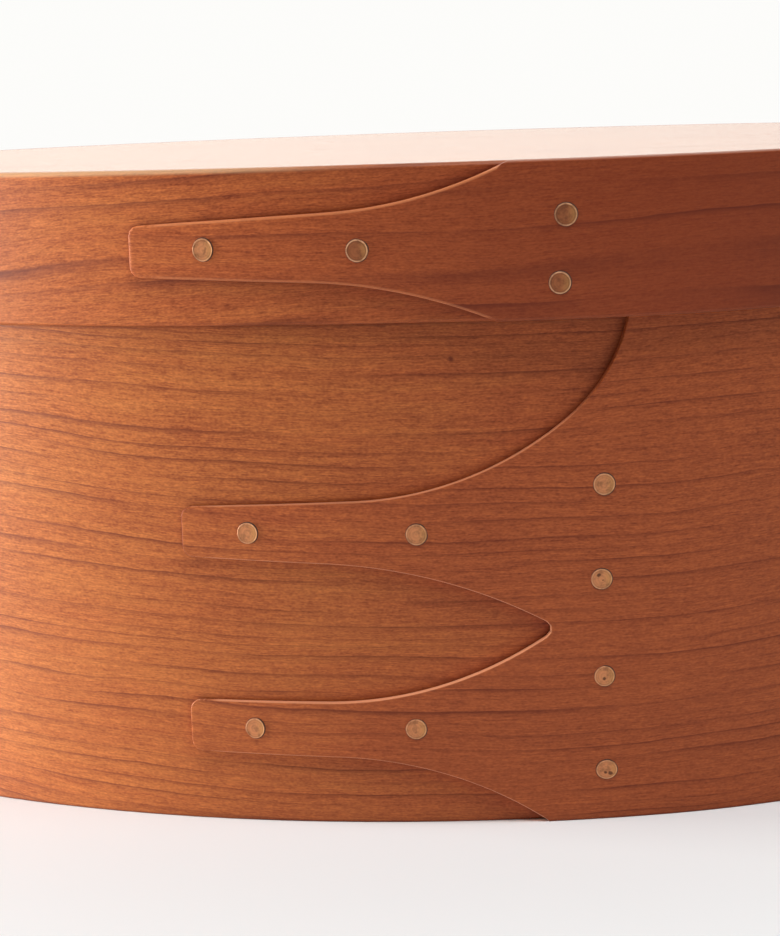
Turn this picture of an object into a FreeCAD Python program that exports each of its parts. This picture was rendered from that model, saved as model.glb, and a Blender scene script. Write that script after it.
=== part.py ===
"""Bentwood oval box with a fitted lid.

Each band is one strip of thin cherry, bent round an oval until its ends overlap on the front.
The outer end is cut into swallowtail fingers, and copper tacks clinch it to the inner end.
A board closes the bottom of the box and another one the top of the lid, held by wooden pegs.

Millimetres. Origin at the centre of the underside, +X along the oval, front lap towards -Y, +Z up.
A place on a band is given as (s, z): s is the length along the box's inner face, measured from
the middle of the front towards +X, and z is the height. Offsets are counted outwards from that face.
"""
import FreeCAD, Part
import math
import os

Vector = FreeCAD.Vector

# The oval that both bands follow, on the inner face of the box
half_length = 122.9
half_width = 86.4
front_angle = math.radians(28)
shoulder_angle = math.radians(28)
shoulder_radius = 95.0

# Wood
band_thickness = 1.8
board_thickness = 6.0
box_band_height = 106.0
lid_band_height = 26.2
total_height = box_band_height + board_thickness
lid_band_bottom = total_height - lid_band_height

# Fits
glue_gap = 0.1
board_gap = 0.05
lid_clearance = 0.3

# The laps: where the outer end starts, and where the inner end is feathered away
lap_start = -50.0
box_feather = (44.0, 88.0)
lid_feather = (40.0, 84.0)
underlap_rise = (-10.0, 38.0)
feathered_thickness = 0.2
tip_thickness = 1.0
tip_taper = (-40.0, 4.0)
edge_bevel = 0.2

# Swallowtail fingers: widths at the tip, and the curves that they sweep into, as a radius and a turn
# in degrees, to the right where it is negative
tip_corner = 1.8
upper_tip = 8.7
lower_tip = 9.0
lid_tip = 8.8
steep_sweep = (30.0, -51.5)
upper_sweep = (60.0, -36.7)
gullet_top = (79.0, -27.9)
gullet_end = (1.5, -117.2)
gullet_bottom = (68.7, -32.6)
lower_sweep = (60.3, -38.5)
lid_upper_sweep = (73.5, -24.6)
lid_lower_sweep = (81.4, -24.0)

# Tacks
head_radius = 1.85
head_thickness = 0.55
head_proud = 0.25
head_bevel = 0.12
shank_width = 1.3
shank_tip = 0.8
clinch_length = 2.6
clinch_width = 1.1
clinch_thickness = 0.4
clinch_proud = 0.08
box_tack_places = [
    (-25.8, 50.5), (2.9, 50.3),
    (-25.7, 16.6), (1.8, 16.8),
    (33.7, 57.6), (33.0, 41.5), (33.1, 24.8), (33.0, 8.6),
]
lid_tack_places = [(-30.3, 98.6), (-4.9, 98.0), (28.2, 103.0), (27.0, 92.0)]

# Pegs
peg_radius = 0.9
peg_length = 11.0
peg_proud = 0.05
peg_count = 10
first_peg = 98.0


def smooth_step(value, low, high):
    """0 below low, 1 above high, with a smooth rise between."""
    part = min(max((value - low) / (high - low), 0.0), 1.0)
    return part * part * (3 - 2 * part)


def oval_radii():
    """Radii of the front and end arcs that meet the shoulder arcs smoothly."""
    both = front_angle + shoulder_angle
    along = half_length - shoulder_radius * (math.sin(both) - math.sin(front_angle))
    across = half_width - shoulder_radius * (math.cos(front_angle) - math.cos(both))
    sine, rest = math.sin(front_angle), 1 - math.sin(both)
    versine, cosine = 1 - math.cos(front_angle), math.cos(both)
    scale = sine * cosine - rest * versine
    return (along * cosine - rest * across) / scale, (sine * across - versine * along) / scale


front_radius, end_radius = oval_radii()


def oval_arcs():
    """The oval's arcs, counterclockwise from the front: centre, radius, first and last direction.

    A direction is the angle of the outward normal, 0 at the front and growing towards +X."""
    end_angle = math.pi - 2 * (front_angle + shoulder_angle)
    turns = [
        (front_radius, front_angle), (shoulder_radius, shoulder_angle), (end_radius, end_angle),
        (shoulder_radius, shoulder_angle), (front_radius, 2 * front_angle),
        (shoulder_radius, shoulder_angle), (end_radius, end_angle),
        (shoulder_radius, shoulder_angle), (front_radius, front_angle),
    ]
    arcs = []
    x, y, direction = 0.0, -half_width, 0.0
    for radius, turn in turns:
        centre = Vector(x - radius * math.sin(direction), y + radius * math.cos(direction), 0)
        arcs.append((centre, radius, direction, direction + turn))
        direction += turn
        x = centre.x + radius * math.sin(direction)
        y = centre.y - radius * math.cos(direction)
    return arcs


def outward(direction):
    return Vector(math.sin(direction), -math.cos(direction), 0)


def direction_at(s):
    """Direction of the outward normal at the length s, and the arc that it belongs to."""
    if s < 0:
        return s / front_radius, oval_arcs()[0]
    for arc in oval_arcs():
        _, radius, first, last = arc
        length = radius * (last - first)
        if s <= length:
            break
        s -= length
    return first + s / radius, arc


def band_point(s, z, offset):
    """A point from its (s, z) and its offset."""
    direction, (centre, radius, _, _) = direction_at(s)
    return centre + Vector(0, 0, z) + outward(direction) * (radius + offset)


def oval_edges(offset, first, last):
    """Arc edges at one offset, counterclockwise between two directions."""
    edges = []
    for centre, radius, low, high in oval_arcs():
        start, stop = max(low, first), min(high, last)
        if start < stop:
            angles = (start, (start + stop) / 2, stop)
            ends = [centre + outward(angle) * (radius + offset) for angle in angles]
            edges.append(Part.Arc(*ends).toShape())
    return edges


def spline_through(points, first_tangent, last_tangent):
    curve = Part.BSplineCurve()
    curve.interpolate(Points=points, InitialTangent=first_tangent, FinalTangent=last_tangent)
    return curve.toShape()


def face_line(offset_at, first, last):
    """A face of a band in plan along the lap, where its offset is a function of s."""
    spacing = 4.0
    count = int(abs(last - first) / spacing) + 2
    step = (last - first) / (count - 1)
    small = step * 0.01

    def point(s):
        return band_point(s, 0, offset_at(s))

    points = [point(first + step * index) for index in range(count)]
    first_tangent = (point(first + small) - point(first)).normalize()
    last_tangent = (point(last) - point(last - small)).normalize()
    return spline_through(points, first_tangent, last_tangent)


def straight(first, last):
    return Part.LineSegment(first, last).toShape()


# How far each layer of each band stands off the box's inner face

def box_inside(s):
    return 0.0


def box_gap(s):
    """Inner side of the box's outer lap, which comes down where the inner end is feathered."""
    return (band_thickness + glue_gap) * (1 - smooth_step(s, *box_feather))


def lid_inside(s):
    """Inner side of the lid, which clears the box and swells over the box's own lap."""
    swell = smooth_step(s, *underlap_rise) * box_gap(s)
    return band_thickness + lid_clearance + swell


def lid_gap(s):
    return lid_inside(s) + (band_thickness + glue_gap) * (1 - smooth_step(s, *lid_feather))


def lap_thickness(s):
    """The outer end of a band is thinned towards the finger tips."""
    return tip_thickness + (band_thickness - tip_thickness) * smooth_step(s, *tip_taper)


def feather_end(inside, gap):
    """Where the inner end has become as thin as it gets."""
    s = box_feather[0] - 10
    while gap(s) - glue_gap - inside(s) > feathered_thickness:
        s += 0.5
    return s


def lap_outside(gap):
    """Outer side of the lap, as a function of s."""
    def outside(s):
        return gap(s) + lap_thickness(s)

    return outside


def once_round():
    """Directions between which the oval is plain, from the end of the lap round to its start."""
    return direction_at(box_feather[1])[0], 2 * math.pi + direction_at(lap_start)[0]


def band_blank(inside, gap, bottom, height):
    """One strip round the oval, its outer end lapping over its feathered inner end."""
    base = inside(lap_start)
    lap_end = box_feather[1]
    inner_end = feather_end(inside, gap)
    round_start, round_end = once_round()

    def inner_back(s):
        return gap(s) - glue_gap

    outside = lap_outside(gap)
    feathered_end = [band_point(inner_end, 0, side(inner_end)) for side in (inside, inner_back)]
    cut_end = [band_point(lap_start, 0, side(lap_start)) for side in (outside, gap)]
    edges = oval_edges(base, round_start, round_end)
    edges.append(face_line(inside, lap_start, inner_end))
    edges.append(straight(*feathered_end))
    edges.append(face_line(inner_back, inner_end, lap_start))
    edges += reversed(oval_edges(base + band_thickness, round_start, round_end))
    edges.append(face_line(outside, lap_end, lap_start))
    edges.append(straight(*cut_end))
    edges.append(face_line(gap, lap_start, lap_end))
    blank = Part.Face(Part.Wire(edges)).extrude(Vector(0, 0, height))
    blank.translate(Vector(0, 0, bottom))
    return blank


def finger(upper_length, upper_slope, width, lower_slope, lower_length):
    """Moves that follow a finger out to its tip, round the tip and back."""
    return [
        (upper_length,), (tip_corner, 90 - upper_slope), (width - 2 * tip_corner,),
        (tip_corner, 90 - lower_slope), (lower_length,),
    ]


def walk(start, heading, moves):
    """Places and headings along an outline in (s, z), one list for each move.

    A move is a length alone, for a straight, or a radius and a turn in degrees."""
    spacing = 4.0
    s, z = start
    angle = math.radians(heading)
    stretches = []
    for move in moves:
        turn = 0 if len(move) == 1 else math.radians(move[1])
        length = move[0] * abs(turn) if turn else move[0]
        steps = max(3, int(length / spacing))
        bend = turn / steps
        chord = 2 * move[0] * math.sin(abs(bend) / 2) if turn else length / steps
        places = [(s, z, angle)]
        for _ in range(steps):
            s += chord * math.cos(angle + bend / 2)
            z += chord * math.sin(angle + bend / 2)
            angle += bend
            places.append((s, z, angle))
        stretches.append(places)
    return stretches


def knife_line(places, gap, depth):
    """One stretch of an outline, wrapped on the lap and set in by the bevel at that depth."""
    inset = depth * edge_bevel / band_thickness
    reach = 0.01

    def wrapped(s, z, angle, ahead=0.0):
        side_s = s - inset * math.sin(angle) + ahead * math.cos(angle)
        side_z = z + inset * math.cos(angle) + ahead * math.sin(angle)
        return band_point(side_s, side_z, gap(side_s) - glue_gap / 2 + depth)

    def tangent(place):
        return (wrapped(*place, reach) - wrapped(*place, -reach)).normalize()

    return spline_through([wrapped(*place) for place in places], tangent(places[0]), tangent(places[-1]))


def cut_fingers(blank, gap, start, heading, moves):
    """Cut the lap along an outline walked with the fingers on its left, and drop the waste.

    The knife goes from the glue line out past the lap, square to the band but for the bevel."""
    faces = []
    for places in walk(start, heading, moves):
        sides = [knife_line(places, gap, depth) for depth in (0.0, band_thickness + 1.0)]
        faces.append(Part.makeRuledSurface(*sides))
    pieces = blank.generalFuse([Part.makeShell(faces)])[0].Solids
    return max(pieces, key=lambda piece: piece.Volume)


def tack(s, z, inside, gap):
    """A copper tack driven through both layers, its point turned over on the inner face."""
    outside = lap_outside(gap)
    rise = math.atan((outside(s + 1) - outside(s - 1)) / 2)
    through = outside(s) - inside(s)
    under_head = head_proud - head_thickness
    rim_height = head_thickness - head_bevel
    axis = Vector(1, 0, 0)

    def square(x, width):
        half = width / 2
        corners = [(-half, -half), (half, -half), (half, half), (-half, half), (-half, -half)]
        return Part.makePolygon([Vector(x, y, z) for y, z in corners])

    point_end = clinch_thickness / 2 - through
    shank = Part.makeLoft([square(under_head, shank_width), square(point_end, shank_tip)], True, True)
    head = Part.makeCylinder(head_radius, rim_height, Vector(under_head, 0, 0), axis)
    bevel_base = Vector(under_head + rim_height, 0, 0)
    bevel = Part.makeCone(head_radius, head_radius - head_bevel, head_bevel, bevel_base, axis)
    clinch = Part.makeBox(clinch_thickness, clinch_length, clinch_width)
    clinch.translate(Vector(-through - clinch_proud, -clinch_width / 2, -clinch_width / 2))
    shape = head.multiFuse([bevel, shank, clinch]).removeSplitter()
    direction = direction_at(s)[0] - rise
    turn = FreeCAD.Rotation(Vector(0, 0, 1), math.degrees(direction) - 90)
    shape.Placement = FreeCAD.Placement(band_point(s, z, outside(s)), turn)
    return shape


def pegs(inside, z):
    """Wooden pegs all round but for the lap, driven through a band into the edge of its board."""
    around = sum(radius * (last - first) for _, radius, first, last in oval_arcs())
    pitch = (around - 2 * first_peg) / (peg_count - 1)
    head_offset = inside(lap_start) + band_thickness + peg_proud
    shapes = []
    for index in range(peg_count):
        s = first_peg + pitch * index
        inward = -outward(direction_at(s)[0])
        shapes.append(Part.makeCylinder(peg_radius, peg_length, band_point(s, z, head_offset), inward))
    return shapes


def board(inside, bottom):
    """A flat board that fills the oval inside a band."""
    def edge_offset(s):
        return inside(s) - board_gap

    edges = oval_edges(edge_offset(lap_start), *once_round())
    edges.append(face_line(edge_offset, lap_start, box_feather[1]))
    shape = Part.Face(Part.Wire(edges)).extrude(Vector(0, 0, board_thickness))
    shape.translate(Vector(0, 0, bottom))
    return shape


# Both outlines are walked from above the band's top edge, round each finger, to below its bottom edge.
# The box's one comes down from under the lid, and its two fingers meet in a rounded gullet.
box_start = (39.3, box_band_height + 1.0)
box_outline = [
    (14.7,), steep_sweep, upper_sweep, *finger(28.2, 1.8, upper_tip, 2.3, 22.9),
    gullet_top, gullet_end, gullet_bottom, *finger(22.3, 0.0, lower_tip, 1.05, 24.2),
    lower_sweep,
]
lid_start = (20.4, total_height + 0.6)
lid_outline = [lid_upper_sweep, *finger(32.2, 2.8, lid_tip, 2.35, 28.8), lid_lower_sweep]

box_blank = band_blank(box_inside, box_gap, 0, box_band_height)
lid_blank = band_blank(lid_inside, lid_gap, lid_band_bottom, lid_band_height)
box_band = cut_fingers(box_blank, box_gap, box_start, -90, box_outline)
lid_band = cut_fingers(lid_blank, lid_gap, lid_start, -152.6, lid_outline)

box_tacks = [tack(s, z, box_inside, box_gap) for s, z in box_tack_places]
lid_tacks = [tack(s, z, lid_inside, lid_gap) for s, z in lid_tack_places]
box_pegs = pegs(box_inside, board_thickness / 2)
lid_pegs = pegs(lid_inside, total_height - board_thickness / 2)

nodes = {
    "box_band": box_band.cut(box_tacks + box_pegs),
    "box_bottom_board": board(box_inside, 0).cut(box_pegs),
    "lid_band": lid_band.cut(lid_tacks + lid_pegs),
    "lid_top_board": board(lid_inside, box_band_height).cut(lid_pegs),
}
small_pieces = {
    "box_tack_%d": box_tacks, "lid_tack_%d": lid_tacks, "box_peg_%02d": box_pegs, "lid_peg_%02d": lid_pegs,
}
for name, shapes in small_pieces.items():
    for number, shape in enumerate(shapes, 1):
        nodes[name % number] = shape

os.makedirs("parts", exist_ok=True)
for node, shape in nodes.items():
    shape.exportStep("parts/%s.step" % node)
    print(node, shape.isValid(), len(shape.Solids), round(shape.Volume, 1))
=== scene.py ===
# %% [markdown]
# # An oval bentwood box, dressed piece by piece
#
# The box is two bands of thin cherry, each bent round an oval until its ends overlap on the front.
# The outer end is cut into swallowtail fingers and clinched with copper tacks. Boards close the
# bottom of the box and the top of the lid, and small wooden pegs hold them in.
#
# The working model is loaded first. It fixes every size and place, so this lesson only has to give
# each piece its real surface: eased edges, dished tacks, and wood whose grain bends with the band.

# %% Load the working model
import math
import random
from collections import namedtuple

import bmesh
import bpy
from mathutils import Matrix, Vector


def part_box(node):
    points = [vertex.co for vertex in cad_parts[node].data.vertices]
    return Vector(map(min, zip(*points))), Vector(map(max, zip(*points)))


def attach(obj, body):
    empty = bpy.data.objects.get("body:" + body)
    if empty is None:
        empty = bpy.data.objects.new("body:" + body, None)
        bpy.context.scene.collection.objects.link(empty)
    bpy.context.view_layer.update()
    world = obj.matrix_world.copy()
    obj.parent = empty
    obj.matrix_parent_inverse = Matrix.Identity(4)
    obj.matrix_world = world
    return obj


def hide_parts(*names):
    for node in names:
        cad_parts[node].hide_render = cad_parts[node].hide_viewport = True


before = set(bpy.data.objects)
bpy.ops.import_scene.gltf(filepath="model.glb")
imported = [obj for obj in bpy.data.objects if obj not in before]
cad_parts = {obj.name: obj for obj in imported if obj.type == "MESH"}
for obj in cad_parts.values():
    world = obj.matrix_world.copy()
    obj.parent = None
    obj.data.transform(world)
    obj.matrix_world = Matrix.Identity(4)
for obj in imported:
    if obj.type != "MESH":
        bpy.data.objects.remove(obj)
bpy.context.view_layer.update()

mm = 0.001

# %% [markdown]
# ## The sizes that the pieces share
#
# A board is cut to the inside of its band, so the bottom board's corners give the oval, and the
# band's own corners give how thick it is. Reading them from the model, instead of typing them
# again, keeps the dressed pieces exactly where the working pieces are.

# %% Sizes read from the working model
board_gap = 0.05 * mm
glue_gap = 0.1 * mm
lid_clearance = 0.3 * mm

bottom_low, bottom_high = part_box("box_bottom_board")
lid_board_low, lid_board_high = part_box("lid_top_board")
_, box_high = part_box("box_band")
lid_low, lid_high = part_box("lid_band")

half_length = bottom_high.x + board_gap
half_width = bottom_high.y + board_gap
band_thickness = box_high.x - half_length
print("oval", half_length / mm, "by", half_width / mm, "band", band_thickness / mm)

# %% [markdown]
# ## The oval
#
# A bending form for such a box is drawn with a compass: a flat arc for the front, a tighter one for
# each shoulder and the tightest for each end. Three radii that meet smoothly look right, where an
# ellipse would be too pointed at the ends. A place on the oval is its length s along the inner
# face, counted from the middle of the front towards the right.

# %% The oval as arcs
front_turn = math.radians(28)
shoulder_turn = math.radians(28)
shoulder_radius = 95 * mm


def oval_radii():
    """Radii of the front and end arcs that meet the shoulder arcs smoothly."""
    both = front_turn + shoulder_turn
    along = half_length - shoulder_radius * (math.sin(both) - math.sin(front_turn))
    across = half_width - shoulder_radius * (math.cos(front_turn) - math.cos(both))
    sine, rest = math.sin(front_turn), 1 - math.sin(both)
    versine, cosine = 1 - math.cos(front_turn), math.cos(both)
    scale = sine * cosine - rest * versine
    return (along * cosine - rest * across) / scale, (sine * across - versine * along) / scale


front_radius, end_radius = oval_radii()
end_turn = math.pi - 2 * (front_turn + shoulder_turn)
side_arcs = [(shoulder_radius, shoulder_turn), (end_radius, end_turn), (shoulder_radius, shoulder_turn)]
oval_arcs = [
    (front_radius, front_turn), *side_arcs, (front_radius, 2 * front_turn), *side_arcs,
    (front_radius, front_turn),
]
around = sum(radius * turn for radius, turn in oval_arcs)


def oval_place(s):
    """The point on the oval at the length s, and the direction that the oval runs in there."""
    x, y, direction = 0.0, -half_width, 0.0
    left = s % around
    for radius, turn in oval_arcs:
        after = direction + min(left, radius * turn) / radius
        x += radius * (math.sin(after) - math.sin(direction))
        y += radius * (math.cos(direction) - math.cos(after))
        direction = after
        left -= radius * turn
        if left <= 0:
            break
    return Vector((x, y, 0)), direction


def band_point(s, z, offset):
    """A point that stands off the oval by an offset, at a height."""
    point, direction = oval_place(s)
    return point + Vector((math.sin(direction), -math.cos(direction), 0)) * offset + Vector((0, 0, z))


print("radii", front_radius / mm, shoulder_radius / mm, end_radius / mm, "around", around / mm)

# %% [markdown]
# ## How the layers lie on each other
#
# Where the ends overlap, the outer end has to climb over the inner one, so the inner end is shaved
# to a feather edge and the outer one comes down gently beyond it. The lid swells in the same place
# to clear the box's own lap. Each layer is described by how far its inner side stands off the oval.

# %% Offsets of the layers
box_feather = (44 * mm, 88 * mm)
lid_feather = (40 * mm, 84 * mm)
underlap_rise = (-10 * mm, 38 * mm)
feathered_thickness = 0.2 * mm
tip_thickness = 1.0 * mm
tip_taper = (-40 * mm, 4 * mm)


def smooth_step(value, low, high):
    """0 below low, 1 above high, with a smooth rise between."""
    part = min(max((value - low) / (high - low), 0.0), 1.0)
    return part * part * (3 - 2 * part)


def box_inside(s):
    """The box's inner layer lies on the oval all the way round."""
    return 0.0


def box_gap(s):
    return (band_thickness + glue_gap) * (1 - smooth_step(s, *box_feather))


def lid_inside(s):
    return band_thickness + lid_clearance + smooth_step(s, *underlap_rise) * box_gap(s)


def lid_gap(s):
    return lid_inside(s) + (band_thickness + glue_gap) * (1 - smooth_step(s, *lid_feather))


def tip_thinning(s):
    """How much is planed off the outer face towards the finger tips."""
    return (band_thickness - tip_thickness) * (1 - smooth_step(s, *tip_taper))


def end_thinning(s, feather):
    """How much is shaved off the outer face of the inner end."""
    return (band_thickness + glue_gap) * smooth_step(s, *feather)


def feather_end(feather):
    """Where the inner end has become as thin as it gets."""
    s = feather[0]
    while band_thickness - end_thinning(s, feather) > feathered_thickness:
        s += 0.5 * mm
    return s


print("inner ends stop at", feather_end(box_feather) / mm, feather_end(lid_feather) / mm)

# %% [markdown]
# ## Hands for the operators
#
# Blender's operators act on what is selected, so two small helpers do the selecting: one takes a
# single object in hand, and one picks vertices, edges or faces in edit mode by a test.

# %% Selecting
element_lists = {"VERT": "verts", "EDGE": "edges", "FACE": "faces"}
touching = 0.01 * mm  # places closer than this are one place
sharp_corner = 1.0  # radians between two faces, past which an edge is a corner


def take(piece):
    """Make one object the only selected one and the active one."""
    bpy.ops.object.select_all(action="DESELECT")
    piece.select_set(True)
    bpy.context.view_layer.objects.active = piece


def choose(kind, wanted):
    """In edit mode, select only the elements that the test accepts, and count them."""
    bpy.ops.mesh.select_mode(type=kind)
    bpy.ops.mesh.select_all(action="DESELECT")
    mesh = bmesh.from_edit_mesh(bpy.context.object.data)
    chosen = [element for element in getattr(mesh, element_lists[kind]) if wanted(element)]
    for element in chosen:
        element.select_set(True)
    mesh.select_flush_mode()
    bmesh.update_edit_mesh(bpy.context.object.data)
    return len(chosen)


def apply_modifier(piece, kind, **settings):
    """Add a modifier with these settings and apply it."""
    take(piece)
    modifier = piece.modifiers.new(kind.lower(), kind)
    for name, value in settings.items():
        setattr(modifier, name, value)
    bpy.ops.object.modifier_apply(modifier=modifier.name)


# %% [markdown]
# ## Cutting a flat strip
#
# A maker cuts the fingers while the strip is still flat, so the strip is drawn flat too: its length
# along X, its height along Z, and its outer face towards -Y. The outline could be typed in as
# points, but walking it as a knife does is closer to the craft: a straight is an extruded vertex,
# and a sweep is that vertex spun about a centre.

# %% Walk an outline
sweep_spacing = 1.2 * mm


def begin_outline(name, start):
    """A new piece in edit mode that holds one selected vertex at the start."""
    bpy.ops.object.select_all(action="DESELECT")
    bpy.ops.mesh.primitive_plane_add(size=mm)
    piece = bpy.context.object
    piece.name = name
    bpy.ops.object.mode_set(mode="EDIT")
    bpy.ops.mesh.select_mode(type="VERT")
    bpy.ops.mesh.select_all(action="SELECT")
    bpy.ops.mesh.merge(type="CENTER")
    bpy.ops.transform.translate(value=(start[0], 0, start[1]))
    return piece


def knife_to(place, target):
    """Extrude the selected vertex to a target, both as (s, z)."""
    step = (target[0] - place[0], 0, target[1] - place[1])
    bpy.ops.mesh.extrude_vertices_move(TRANSFORM_OT_translate={"value": step})
    return target


def knife_walk(place, heading, moves):
    """Follow moves from a place. A move is a length, or a radius and a turn in degrees."""
    angle = math.radians(heading)
    for move in moves:
        if len(move) == 1:
            reach = Vector((math.cos(angle), math.sin(angle))) * move[0] * mm
            place = knife_to(place, (place[0] + reach.x, place[1] + reach.y))
            continue
        radius, turn = move[0] * mm, math.radians(move[1])
        side = math.copysign(radius, turn)
        centre = (place[0] - side * math.sin(angle), place[1] + side * math.cos(angle))
        steps = max(3, math.ceil(radius * abs(turn) / sweep_spacing))
        bpy.ops.mesh.spin(steps=steps, angle=turn, center=(centre[0], 0, centre[1]), axis=(0, 1, 0))
        angle += turn
        place = (centre[0] + side * math.sin(angle), centre[1] - side * math.cos(angle))
    return place


def close_outline(place, start, end_s):
    """Run along the strip to its inner end and back to the start, and fill the outline."""
    place = knife_to(place, (end_s, place[1]))
    place = knife_to(place, (end_s, start[1]))
    knife_to(place, start)
    bpy.ops.mesh.select_all(action="SELECT")
    bpy.ops.mesh.remove_doubles(threshold=touching)
    bpy.ops.mesh.edge_face_add()


def saw(plane_at, normal, clear=True):
    """Bisect everything, and drop what lies in front of the plane if it is waste."""
    bpy.ops.mesh.select_all(action="SELECT")
    bpy.ops.mesh.bisect(
        plane_co=plane_at, plane_no=normal, clear_outer=clear, threshold=touching / 10)


# %% [markdown]
# ## Easing the edges
#
# A sharp edge never looks like wood, because sanding takes it off. The flat strip is thickened and
# the edges of its outer face are bevelled, the ones along the rim more than the ones of the
# fingers. The bevel goes on before bending, while the outer face is still one flat polygon.

# %% Thicken and ease
def thicken(top, rim_arris, finger_arris):
    """Give the filled outline its thickness, and ease the edges of its outer face."""
    bpy.ops.mesh.select_all(action="SELECT")
    bpy.ops.mesh.extrude_region_move(TRANSFORM_OT_translate={"value": (0, -band_thickness, 0)})
    bpy.ops.mesh.select_all(action="SELECT")
    bpy.ops.mesh.normals_make_consistent(inside=False)

    def at_depth(edge, y):
        return all(abs(v.co.y - y) < touching for v in edge.verts)

    def on_rim(edge):
        return at_depth(edge, -band_thickness) and min(v.co.z for v in edge.verts) > top - touching

    def is_corner(edge):
        return edge.is_manifold and edge.calc_face_angle() > sharp_corner

    def on_outer_face(edge):
        return at_depth(edge, -band_thickness) and is_corner(edge)

    def on_mouth(edge):
        return at_depth(edge, 0) and is_corner(edge)

    choose("EDGE", on_rim)
    bpy.ops.mesh.bevel(offset=rim_arris, segments=3, affect="EDGES", clamp_overlap=False)
    choose("EDGE", on_outer_face)
    bpy.ops.mesh.bevel(offset=finger_arris, segments=2, affect="EDGES", clamp_overlap=False)
    choose("EDGE", on_mouth)
    bpy.ops.mesh.bevel(offset=finger_arris, segments=1, affect="EDGES", clamp_overlap=False)


# %% [markdown]
# ## Bending a strip
#
# Steam makes the strip bend, and the form gives it the oval. Here the form is a path and the steam
# is a Curve modifier. The strip needs an edge across it wherever it is to bend, so it is sawn into
# narrow columns first. Before bending, vertex groups say how far each place is planed thinner and
# how far it stands off the form, and a Displace modifier moves it there.
#
# A copy of the flat position is kept on every vertex. The wood's pattern reads that copy, so the
# grain follows the strip round the oval just as it does in real bent wood.

# %% Columns
lap_columns = 1.5 * mm
plain_columns = 2.5 * mm


def saw_columns(strip, lap_low, lap_high, end_s):
    """Divide the strip across, closely on the lap and more widely on the plain rest."""
    take(strip)
    bpy.ops.object.mode_set(mode="EDIT")
    count = round((lap_high - lap_low) / lap_columns)
    for index in range(1, count + 1):
        saw((lap_low + (lap_high - lap_low) * index / count, 0, 0), (1, 0, 0), clear=False)

    def runs_along(edge):
        start_s = min(v.co.x for v in edge.verts)
        return edge.calc_length() > 0.9 * (end_s - lap_high) and start_s > lap_high - touching

    long_edges = choose("EDGE", runs_along)
    bpy.ops.mesh.subdivide(number_cuts=round((end_s - lap_high) / plain_columns))
    bpy.ops.object.mode_set(mode="OBJECT")
    print(strip.name, "columns on", long_edges, "long edges,", len(strip.data.vertices), "vertices")


# %% Push by weights
def push(strip, amount_at, towards):
    """Move each vertex along Y by its own amount, through a vertex group and a Displace modifier."""
    amounts = [amount_at(vertex.co) for vertex in strip.data.vertices]
    most = max(amounts)
    group = strip.vertex_groups.new(name="push")
    for index, amount in enumerate(amounts):
        group.add([index], amount / most, "REPLACE")
    apply_modifier(strip, "DISPLACE", direction="Y", mid_level=0.0, strength=most * towards,
                   vertex_group="push")
    strip.vertex_groups.clear()


# %% The form and the bend
form_start = -60 * mm
form_spacing = 1 * mm


def bending_form():
    """The oval as a path that runs on past a full turn, so that the ends can overlap."""
    form_length = around + 200 * mm
    count = int(form_length / form_spacing)
    path = bpy.data.curves.new("bending_form", "CURVE")
    spline = path.splines.new("POLY")
    spline.points.add(count - 1)
    for index, point in enumerate(spline.points):
        place, _ = oval_place(form_start + index * form_spacing)
        point.co = (place.x, place.y, 0, 1)
    form = bpy.data.objects.new("bending_form", path)
    bpy.context.scene.collection.objects.link(form)
    return form


def bend(strip):
    """Keep the flat position as an attribute, then bend the strip round the form."""
    form = bending_form()
    take(strip)
    strip.data.transform(Matrix.Translation((-form_start, 0, 0)))
    apply_modifier(strip, "CURVE", object=form, deform_axis="POS_X")
    bpy.data.objects.remove(form)


def keep_flat_position(strip):
    flat = strip.data.attributes.new("flat", "FLOAT_VECTOR", "POINT")
    for index, vertex in enumerate(strip.data.vertices):
        flat.data[index].vector = vertex.co


def smooth_over(piece, angle):
    """Shade smooth up to an angle, with the large faces staying flat beside their small arrises."""
    take(piece)
    bpy.ops.object.shade_smooth_by_angle(angle=math.radians(angle))
    apply_modifier(piece, "WEIGHTED_NORMAL", mode="FACE_AREA", weight=100, keep_sharp=True)


# %% [markdown]
# ## The two bands
#
# The box's band ends in two fingers, the lid's in one. Each finger has nearly straight sides and
# softly rounded tip corners, and sweeps out into the full width of the band. The sweep is what
# makes it a swallowtail: it lets the wood swell and shrink without buckling at the tacks.

# %% Tack places and finger outlines
box_tack_places = [
    (-25.7, 50.5), (2.8, 50.2),
    (-25.8, 16.6), (1.7, 16.8),
    (33.8, 57.6), (33.0, 41.5), (33.1, 24.8), (33.1, 8.6),
]
lid_tack_places = [(-30.6, 98.7), (-5.0, 98.1), (28.1, 103.0), (26.9, 91.9)]
box_tack_places = [(s * mm, z * mm) for s, z in box_tack_places]
lid_tack_places = [(s * mm, z * mm) for s, z in lid_tack_places]

# In the outlines, lengths and radii are in millimetres and turns in degrees.
tip_corner = 1.8


def finger(upper_length, upper_slope, width, lower_slope, lower_length):
    """Moves that follow a finger out to its tip, round the tip and back."""
    return [
        (upper_length,), (tip_corner, 90 - upper_slope), (width - 2 * tip_corner,),
        (tip_corner, 90 - lower_slope), (lower_length,),
    ]


# The knife starts on the waste above the rim.
box_start = (39.3 * mm, box_high.z + 1 * mm)
box_heading = -90
box_outline = [
    (14.7,), (30.0, -51.5), (60.0, -36.7), *finger(28.2, 1.8, 8.7, 2.3, 22.9),
    (79.0, -27.9), (1.5, -117.2), (68.7, -32.6), *finger(22.3, 0.0, 9.0, 1.05, 24.2),
    (60.3, -38.5),
]
lid_start = (20.4 * mm, lid_high.z + 0.6 * mm)
lid_heading = -152.6
lid_outline = [(73.5, -24.6), *finger(32.2, 2.8, 8.8, 2.35, 28.8), (81.4, -24.0)]

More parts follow.
